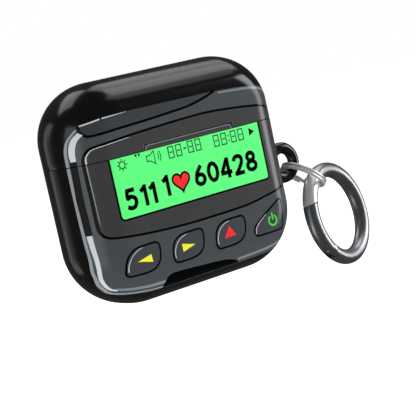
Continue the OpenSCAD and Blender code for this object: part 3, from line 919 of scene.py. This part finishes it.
decal("key_shine", shine, 5, "print_shine")
arrows = [[(-20.4, 10.7), (-16.5, 9.75), (-16.6, 11.5)], [(-8.1, 9.75), (-4.5, 10.7), (-8.1, 11.6)]]
decal("key_icons_yellow", arrows, 5, "print_yellow")
decal("key_icon_red", [[(3.75, 9.8), (7.15, 9.9), (5.7, 12.3)]], 5, "print_red")
power = stroke(ring_path(18.4, 10.5, 1.15, 1.15, 122, 418, 22), 0.4)
power += stroke([(18.45, 10.6), (18.5, 12.3)], 0.4)
decal("key_icon_power", power, 5, "print_power")

# ---------------------------------------------------------------- carry loop and rings

loop_at = (loop_low + loop_high) / 2
LOOP_BAR = (loop_high.y - loop_low.y) / 2
LOOP_R = (loop_high.x - loop_low.x) / 2 - LOOP_BAR
FACING = Matrix.Rotation(pi / 2, 3, "X")
loop = lathe("carry_loop_ring", circle_profile(LOOP_R, LOOP_BAR), loop_at, FACING, steps=96, closed=True)
piece(loop, "base", "cover_black", stands_for=["carry_loop"])


def turned(x, y, z):
    """Turn about X, then Y, then Z, in degrees."""
    return (Matrix.Rotation(radians(z), 3, "Z") @ Matrix.Rotation(radians(y), 3, "Y")
            @ Matrix.Rotation(radians(x), 3, "X"))


SPLIT_R = 5.45
SPLIT_WIRE = 0.42
SPLIT_DROP = 1
SPLIT_TURN = turned(-20, 33.5, -40)
split_at = loop_at - Vector((0, 0, SPLIT_DROP)) + SPLIT_TURN @ Vector((SPLIT_R, 0, 0))
GATE_R = 11.1
GATE_BAR = 1.85
GATE_TURN = turned(81.5, 6, 17.5)
GATE_SITS = 2.75
# Places on the gate ring, in degrees: where it hangs, the joint at its nose, and the gate's pivot
HANG = 122.5
NOSE = 161.5
PIVOT = 228.5
NOSE_GAP = 0.3
NOSE_SLANT = 12
KNUCKLE_R = 2.0
KNUCKLE_ROOM = 0.12
LUG_R = 1.3
LUG_HALF = 0.6
LUG_NECK = 1.1
LUG_PLAY = 0.1
RIVET_HOLE_R = 0.55
held = split_at + SPLIT_TURN @ Vector((GATE_SITS, 0, 0))
gate_at = held - GATE_TURN @ Vector((GATE_R * cos(radians(HANG)), GATE_R * sin(radians(HANG)), 0))

# Two turns of wire: one side, a short crossing, then the other side
COIL_STEPS = 192
COIL_FILL = 0.985
COIL_SIDE = 0.96
CROSS_FROM = 0.94
CROSS_SPAN = 0.12
coil = []
for k in range(COIL_STEPS + 1):
    turns = 2 * k / COIL_STEPS
    a = radians(90) + 2 * pi * turns * COIL_FILL
    cross = min(1, max(0, (turns - CROSS_FROM) / CROSS_SPAN))
    side = -1 + 2 * cross * cross * (3 - 2 * cross)
    spot = Vector((SPLIT_R * cos(a), SPLIT_R * sin(a), side * SPLIT_WIRE * COIL_SIDE))
    coil.append(split_at + SPLIT_TURN @ spot)
split_ring = sweep("split_ring_coil", coil, [SPLIT_WIRE] * len(coil), sides=16, round_ends=True)
piece(split_ring, "split_ring", "chrome_wire", stands_for=["split_ring"])

GATE_STEP = 2.0


def on_gate_ring(angle):
    """Point in the middle of the gate ring's bar."""
    a = radians(angle)
    return gate_at + GATE_TURN @ Vector((GATE_R * cos(a), GATE_R * sin(a), 0))


def gate_arc(start, end):
    """Points along the gate ring's bar, about GATE_STEP degrees apart."""
    count = max(2, int(abs(end - start) / GATE_STEP))
    return [on_gate_ring(start + (end - start) * k / count) for k in range(count + 1)]


pivot_at = on_gate_ring(PIVOT)
nose_at = on_gate_ring(NOSE)
PIVOT_FRAME = GATE_TURN @ Matrix.Rotation(radians(PIVOT), 3, "Z")
nose_line = (nose_at - pivot_at).normalized()
gate_axis = GATE_TURN @ Vector((0, 0, 1))
NOSE_FRAME = Matrix((nose_line, gate_axis.cross(nose_line), gate_axis)).transposed()


def box_at(at, turn, x, y, z):
    """Box in a turned frame. Each of x, y and z is a pair of limits."""
    corners = [(x[0], y[0]), (x[1], y[0]), (x[1], y[1]), (x[0], y[1])]
    bm = bmesh.new()
    loft(bm, [[at + turn @ Vector((px, py, pz)) for px, py in corners] for pz in z])
    bmesh.ops.recalc_face_normals(bm, faces=bm.faces)
    return add_mesh("cutter", bm)


def nose_cutter(x0, x1):
    """Box from x0 to x1 past the joint at the nose, away from the pivot."""
    return box_at(nose_at, NOSE_FRAME, (x0, x1), (-5, 5), (-4, 4))


def at_pivot(radius, half):
    """Cylinder round the gate's pivot."""
    profile = [(0, -half), (radius, -half), (radius, half), (0, half)]
    return lathe("cutter", profile, pivot_at, PIVOT_FRAME, steps=64)


bar_path = gate_arc(PIVOT - 360 + 4, HANG + 5)
gate_ring = sweep("gate_ring_bar", bar_path, [GATE_BAR] * len(bar_path), GATE_SIDES)
lug = at_pivot(LUG_R, LUG_HALF)
neck = box_at(pivot_at, PIVOT_FRAME, (-LUG_NECK, LUG_NECK), (0, 3), (-LUG_HALF, LUG_HALF))
cut(gate_ring, at_pivot(KNUCKLE_R + KNUCKLE_ROOM, 4))
cut(gate_ring, lug, neck, operation="UNION")
ease_rims(gate_ring, FINE_RIM)
piece(gate_ring, "gate_ring", "gunmetal", stands_for=["gate_ring"])

# Brighter sleeve at the nose, from where the split ring sits to the joint with the gate
sleeve_path = gate_arc(HANG + 3, NOSE + NOSE_SLANT)
sleeve_radii = [GATE_BAR + 0.04] * len(sleeve_path)
sleeve_radii[0] = GATE_BAR - 0.08
sleeve = sweep("gate_ring_sleeve", sleeve_path, sleeve_radii, GATE_SIDES)
cut(sleeve, nose_cutter(-6, NOSE_GAP / 2))
ease_rims(sleeve, RIM)
piece(sleeve, "gate_ring", "ferrule_metal")

arm_path = gate_arc(NOSE - NOSE_SLANT, PIVOT + 14)
arm = sweep("gate_arm", arm_path, [GATE_BAR] * len(arm_path), GATE_SIDES)
beyond = box_at(pivot_at, PIVOT_FRAME, (-5, 5), (0, 8), (-4, 4))
cut(beyond, at_pivot(KNUCKLE_R, 5))
cut(arm, nose_cutter(-NOSE_GAP / 2, 6), beyond, at_pivot(KNUCKLE_R + 0.3, LUG_HALF + LUG_PLAY),
    at_pivot(RIVET_HOLE_R, 4))
ease_rims(arm, FINE_RIM)
piece(arm, "gate", "gunmetal", stands_for=["ring_gate"])

# Rivet through the gate and the ring's lug
cap = [(0, 1.93), (0.42, 1.9), (0.72, 1.8), (0.78, 1.7), (0.5, 1.6)]
head = [(r, -h) for r, h in cap] + cap[::-1]
rivet = lathe("gate_rivet", head, pivot_at, PIVOT_FRAME, smooth_angle=60)
piece(rivet, "gate_ring", "pin_steel", stands_for=["gate_pivot"])

# ---------------------------------------------------------------- earbuds

BUD_X = 13.5
BUD_Z = 35.0
BUD_R = 7.5
STEM_R = 2.6
STEM_LOW = 9.8
STEM_EDGE = 0.15
NECK_GROW = 0.7
HEAD_WALL = 1
STEM_WALL = 0.7
HEAD_STEPS = 24
GRILLE_R = 2.6


def bud_profile(head_r, stem_r):
    """From the stem's end up over the head to the axis."""
    neck_r = stem_r + NECK_GROW
    neck = BUD_Z - sqrt(head_r ** 2 - neck_r ** 2)
    points = [(stem_r - STEM_EDGE, STEM_LOW), (stem_r, STEM_LOW + STEM_EDGE), (stem_r, neck - 2.4),
              (stem_r + NECK_GROW * 0.25, neck - 0.9)]
    first = degrees(acos(neck_r / head_r)) - 3
    for k in range(HEAD_STEPS + 1):
        a = radians(-first + (90 + first) * k / HEAD_STEPS)
        points.append((head_r * cos(a), BUD_Z + head_r * sin(a)))
    points[-1] = (0, BUD_Z + head_r)
    return points


shell = bud_profile(BUD_R, STEM_R) + bud_profile(BUD_R - HEAD_WALL, STEM_R - STEM_WALL)[::-1]
mesh_dome = [(0, -7.35), (1.3, -7.2), (2.3, -6.9), (2.58, -6.75), (2.58, -6.4), (0, -6.4)]
for name, side in (("left", -1), ("right", 1)):
    x = side * BUD_X
    housing = lathe(f"{name}_bud_shell", shell, Vector((x, 0, 0)), steps=72, closed=True)
    cut(housing, bar_y(x, BUD_Z, -BUD_R - 1, -BUD_R + 2, GRILLE_R))
    ease_rims(housing, FINE_RIM)
    piece(housing, "base", "bud_white", stands_for=[f"{name}_bud_housing"])
    grille = lathe(f"{name}_bud_mesh", mesh_dome, Vector((x, 0, BUD_Z)), FACE_BACK, steps=40)
    piece(grille, "base", "grille_mesh", stands_for=[f"{name}_bud_grille"])

# ---------------------------------------------------------------- floor, backdrop, lights and camera


def stage_material(name, colour, strength, lit):
    """Pale stage surface, part of it lit by its own soft glow."""
    m = bpy.data.materials.new(name)
    m.use_nodes = True
    shader = m.node_tree.nodes["Principled BSDF"]
    shader.inputs["Base Color"].default_value = [c * lit for c in colour] + [1]
    shader.inputs["Roughness"].default_value = 1.0
    shader.inputs["Specular IOR Level"].default_value = 0.0
    shader.inputs["Emission Color"].default_value = list(colour) + [1]
    shader.inputs["Emission Strength"].default_value = strength
    return m


FLOOR_Z = -60.0
FLOOR_R = 3000
ROOM_R = 3500
PALE = (1.0, 1.0, 1.0)
bm = bmesh.new()
bmesh.ops.create_circle(bm, cap_ends=True, segments=96, radius=FLOOR_R)
bmesh.ops.translate(bm, verts=bm.verts, vec=(0, 0, FLOOR_Z))
floor = add_mesh("floor", bm)
floor.data.materials.append(stage_material("floor_pale", PALE, 0.97, 0.6))
bm = bmesh.new()
bmesh.ops.create_uvsphere(bm, u_segments=64, v_segments=32, radius=ROOM_R)
backdrop = add_mesh("backdrop", bm)
backdrop.data.materials.append(stage_material("backdrop_pale", PALE, 1.0, 0.0))
backdrop.visible_diffuse = False
backdrop.visible_glossy = False
backdrop.visible_transmission = False
backdrop.visible_shadow = False
floor.visible_glossy = False

DIM = (0.06, 0.06, 0.062, 1)
world = bpy.data.worlds.new("room")
world.use_nodes = True
world.node_tree.nodes["Background"].inputs["Color"].default_value = DIM
bpy.context.scene.world = world

CENTRE = Vector((0, 0, 25.5)) * MM


def toward(azimuth, elevation):
    """Unit direction: azimuth 0 is the front, 90 the right and 180 the back."""
    a, e = radians(azimuth), radians(elevation)
    return Vector((sin(a) * cos(e), -cos(a) * cos(e), sin(e)))


def softbox(name, azimuth, elevation, width, height, radiance, colour=(1, 1, 1), in_gloss=True):
    """Area light one metre away that faces the cover. Its brightness doesn't change with its size."""
    lamp = bpy.data.lights.new(name, "AREA")
    lamp.shape = "RECTANGLE"
    lamp.size = width
    lamp.size_y = height
    lamp.energy = radiance * pi * width * height
    lamp.color = colour
    obj = bpy.data.objects.new(name, lamp)
    direction = toward(azimuth, elevation)
    obj.location = CENTRE + direction
    obj.rotation_euler = direction.to_track_quat("Z", "Y").to_matrix().to_euler()
    obj.visible_glossy = in_gloss
    bpy.context.scene.collection.objects.link(obj)


WARM = (1, 0.98, 0.95)
softbox("front_fill", -25, 30, 0.9, 0.9, 0.95, in_gloss=False)
softbox("right_fill", 60, 20, 0.7, 0.7, 0.55, in_gloss=False)
softbox("back_fill", 170, 35, 0.9, 0.9, 0.7, in_gloss=False)
softbox("top_fill", 0, 88, 0.9, 0.9, 0.6, in_gloss=False)
softbox("top_box", 112, 54, 0.8, 0.55, 1.3, WARM)
softbox("top_box_soft", 78, 56, 0.7, 0.5, 0.9, WARM)
softbox("right_strip", 61, 8, 0.46, 0.8, 4.6)
softbox("left_strip", -154, 0, 0.14, 0.9, 0.8, (1, 0.94, 0.86))
softbox("side_box", -92, 0, 0.7, 1.2, 1.3)
softbox("back_box", -170, 50, 0.6, 0.4, 1.6)

camera = bpy.data.cameras.new("camera")
camera.sensor_width = 36
camera.lens = 120
camera.clip_end = 20
eye = bpy.data.objects.new("camera", camera)
# The fitted camera: where it is seen from, its roll, and its place in millimetres from CENTRE
AZIMUTH, ELEVATION = -35.6, 6.4
ROLL = radians(-12.2)
SHIFT_RIGHT, SHIFT_DOWN, DISTANCE = 9.6, 7.0, 321.7
back = toward(AZIMUTH, ELEVATION)
level = Vector((cos(radians(AZIMUTH)), sin(radians(AZIMUTH)), 0))
upright = back.cross(level)
right = level * cos(ROLL) + upright * sin(ROLL)
up = upright * cos(ROLL) - level * sin(ROLL)
place = CENTRE + (right * SHIFT_RIGHT - up * SHIFT_DOWN + back * DISTANCE) * MM
eye.matrix_world = Matrix((right, up, back)).transposed().to_4x4()
eye.matrix_world.translation = place
bpy.context.scene.collection.objects.link(eye)
bpy.context.scene.camera = eye
bpy.context.scene.view_settings.view_transform = "Standard"
